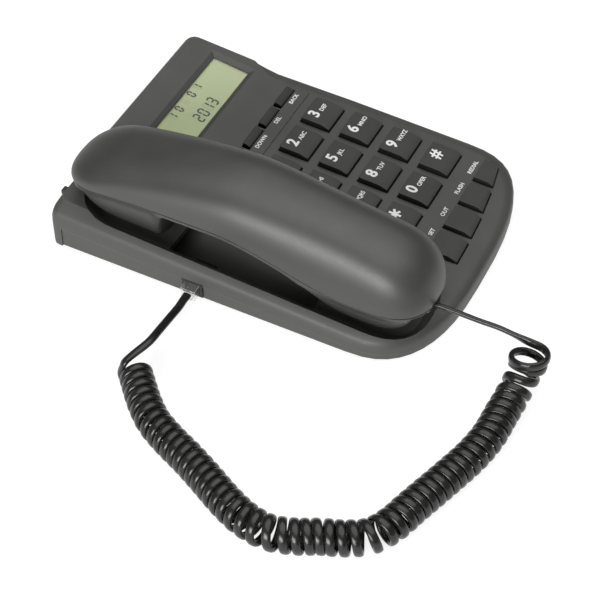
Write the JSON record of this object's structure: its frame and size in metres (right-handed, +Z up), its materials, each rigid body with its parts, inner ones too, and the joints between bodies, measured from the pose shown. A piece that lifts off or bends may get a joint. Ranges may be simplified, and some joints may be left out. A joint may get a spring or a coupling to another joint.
{
  "type": "corded telephone",
  "caption": "Corded desk telephone: a low sloping base with display and keypad, a handset cradled on its left, and a curly cord on clear plugs.",
  "frame": {"origin": "centre of the telephone's box in plan, without its cord, on the plane that its feet stand on", "axes": "+Z up, +Y towards the back of the telephone with its display and line socket, +X towards its keypad side; the handset lies along Y on the -X side"},
  "size_m": [0.2532, 0.2435, 0.0619],
  "materials": {
    "case_plastic": "fine matte texture",
    "handset_plastic": "fine matte texture",
    "key_plastic": "fine matte texture",
    "foot_rubber": "matte",
    "mat_rubber": "matte",
    "socket_plastic": "satin",
    "board_laminate": "lacquered",
    "window_plastic": "clear",
    "display_glass": "satin, grey-green",
    "screw_steel": "zinc plated",
    "cell_steel": "satin",
    "speaker_paper": "matte",
    "plug_plastic": "clear",
    "cord_plastic": "satin"
  },
  "bodies": {
    "base": {"upper_case": "case_plastic", "lower_case": "case_plastic", "foot_front_left": "foot_rubber", "foot_front_right": "foot_rubber", "foot_rear_left": "foot_rubber", "foot_rear_right": "foot_rubber", "case_screw_front_left": "screw_steel", "case_screw_front_right": "screw_steel", "case_screw_rear_left": "screw_steel", "case_screw_rear_right": "screw_steel", "battery_cell_1": "cell_steel", "battery_cell_2": "cell_steel", "battery_cell_3": "cell_steel", "main_board": "board_laminate", "keypad_mat": "mat_rubber", "display_window": "window_plastic", "lcd_module": "display_glass", "ringer_buzzer": "socket_plastic", "handset_jack": "socket_plastic", "line_jack": "socket_plastic", "ringer_switch": "socket_plastic", "hook_switch": "socket_plastic", "base_plug": "plug_plastic", "cord_coil": "cord_plastic", "cord_base_tail": "cord_plastic"},
    "handset": {"handset_top_shell": "handset_plastic", "handset_bottom_shell": "handset_plastic", "earpiece_speaker": "speaker_paper", "microphone": "speaker_paper", "handset_socket": "socket_plastic", "handset_screw_ear": "screw_steel", "handset_screw_mouth": "screw_steel", "handset_plug": "plug_plastic", "cord_handset_tail": "cord_plastic"},
    "hook_plunger": {"hook_plunger": "key_plastic"},
    "ringer_knob": {"ringer_knob": "key_plastic"},
    "battery_door": {"battery_door": "case_plastic"},
    "key_1": {"key_1": "key_plastic"},
    "key_2": {"key_2": "key_plastic"},
    "key_3": {"key_3": "key_plastic"},
    "key_4": {"key_4": "key_plastic"},
    "key_5": {"key_5": "key_plastic"},
    "key_6": {"key_6": "key_plastic"},
    "key_7": {"key_7": "key_plastic"},
    "key_8": {"key_8": "key_plastic"},
    "key_9": {"key_9": "key_plastic"},
    "key_star": {"key_star": "key_plastic"},
    "key_0": {"key_0": "key_plastic"},
    "key_hash": {"key_hash": "key_plastic"},
    "key_set": {"key_set": "key_plastic"},
    "key_out": {"key_out": "key_plastic"},
    "key_flash": {"key_flash": "key_plastic"},
    "key_redial": {"key_redial": "key_plastic"},
    "button_up": {"button_up": "key_plastic"},
    "button_down": {"button_down": "key_plastic"},
    "button_delete": {"button_delete": "key_plastic"},
    "button_back": {"button_back": "key_plastic"}
  },
  "joints": [
    {"name": "handset_lift", "type": "slide", "parent": "base", "child": "handset", "axis": [0, 0, 1], "range_m": [0, 0.09]},
    {"name": "hook_rise", "type": "slide", "parent": "base", "child": "hook_plunger", "axis": [0, 0, 1], "range_m": [0, 0.003]},
    {"name": "ringer_slide", "type": "slide", "parent": "base", "child": "ringer_knob", "axis": [1, 0, 0], "range_m": [0, 0.003]},
    {"name": "battery_door_off", "type": "slide", "parent": "base", "child": "battery_door", "axis": [0, 0, -1], "range_m": [0, 0.02]},
    {"name": "key_1_press", "type": "slide", "parent": "base", "child": "key_1", "axis": [0, 0.0593, -0.9982], "range_m": [0, 0.0015], "stiffness_N_per_m": 400},
    {"name": "key_2_press", "type": "slide", "parent": "base", "child": "key_2", "axis": [0, 0.0593, -0.9982], "range_m": [0, 0.0015], "stiffness_N_per_m": 400},
    {"name": "key_3_press", "type": "slide", "parent": "base", "child": "key_3", "axis": [0, 0.0593, -0.9982], "range_m": [0, 0.0015], "stiffness_N_per_m": 400},
    {"name": "key_4_press", "type": "slide", "parent": "base", "child": "key_4", "axis": [0, 0.0593, -0.9982], "range_m": [0, 0.0015], "stiffness_N_per_m": 400},
    {"name": "key_5_press", "type": "slide", "parent": "base", "child": "key_5", "axis": [0, 0.0593, -0.9982], "range_m": [0, 0.0015], "stiffness_N_per_m": 400},
    {"name": "key_6_press", "type": "slide", "parent": "base", "child": "key_6", "axis": [0, 0.0593, -0.9982], "range_m": [0, 0.0015], "stiffness_N_per_m": 400},
    {"name": "key_7_press", "type": "slide", "parent": "base", "child": "key_7", "axis": [0, 0.0593, -0.9982], "range_m": [0, 0.0015], "stiffness_N_per_m": 400},
    {"name": "key_8_press", "type": "slide", "parent": "base", "child": "key_8", "axis": [0, 0.0593, -0.9982], "range_m": [0, 0.0015], "stiffness_N_per_m": 400},
    {"name": "key_9_press", "type": "slide", "parent": "base", "child": "key_9", "axis": [0, 0.0593, -0.9982], "range_m": [0, 0.0015], "stiffness_N_per_m": 400},
    {"name": "key_star_press", "type": "slide", "parent": "base", "child": "key_star", "axis": [0, 0.0593, -0.9982], "range_m": [0, 0.0015], "stiffness_N_per_m": 400},
    {"name": "key_0_press", "type": "slide", "parent": "base", "child": "key_0", "axis": [0, 0.0593, -0.9982], "range_m": [0, 0.0015], "stiffness_N_per_m": 400},
    {"name": "key_hash_press", "type": "slide", "parent": "base", "child": "key_hash", "axis": [0, 0.0593, -0.9982], "range_m": [0, 0.0015], "stiffness_N_per_m": 400},
    {"name": "key_set_press", "type": "slide", "parent": "base", "child": "key_set", "axis": [0, 0.0593, -0.9982], "range_m": [0, 0.0015], "stiffness_N_per_m": 400},
    {"name": "key_out_press", "type": "slide", "parent": "base", "child": "key_out", "axis": [0, 0.0593, -0.9982], "range_m": [0, 0.0015], "stiffness_N_per_m": 400},
    {"name": "key_flash_press", "type": "slide", "parent": "base", "child": "key_flash", "axis": [0, 0.0593, -0.9982], "range_m": [0, 0.0015], "stiffness_N_per_m": 400},
    {"name": "key_redial_press", "type": "slide", "parent": "base", "child": "key_redial", "axis": [0, 0.0593, -0.9982], "range_m": [0, 0.0015], "stiffness_N_per_m": 400},
    {"name": "button_up_press", "type": "slide", "parent": "base", "child": "button_up", "axis": [0, 0.0593, -0.9982], "range_m": [0, 0.0015], "stiffness_N_per_m": 400},
    {"name": "button_down_press", "type": "slide", "parent": "base", "child": "button_down", "axis": [0, 0.0593, -0.9982], "range_m": [0, 0.0015], "stiffness_N_per_m": 400},
    {"name": "button_delete_press", "type": "slide", "parent": "base", "child": "button_delete", "axis": [0, 0.0593, -0.9982], "range_m": [0, 0.0015], "stiffness_N_per_m": 400},
    {"name": "button_back_press", "type": "slide", "parent": "base", "child": "button_back", "axis": [0, 0.0593, -0.9982], "range_m": [0, 0.0015], "stiffness_N_per_m": 400}
  ],
  "couplings": [
    {"joint": "hook_rise", "follows": "handset_lift", "ratio": 0.0333}
  ]
}
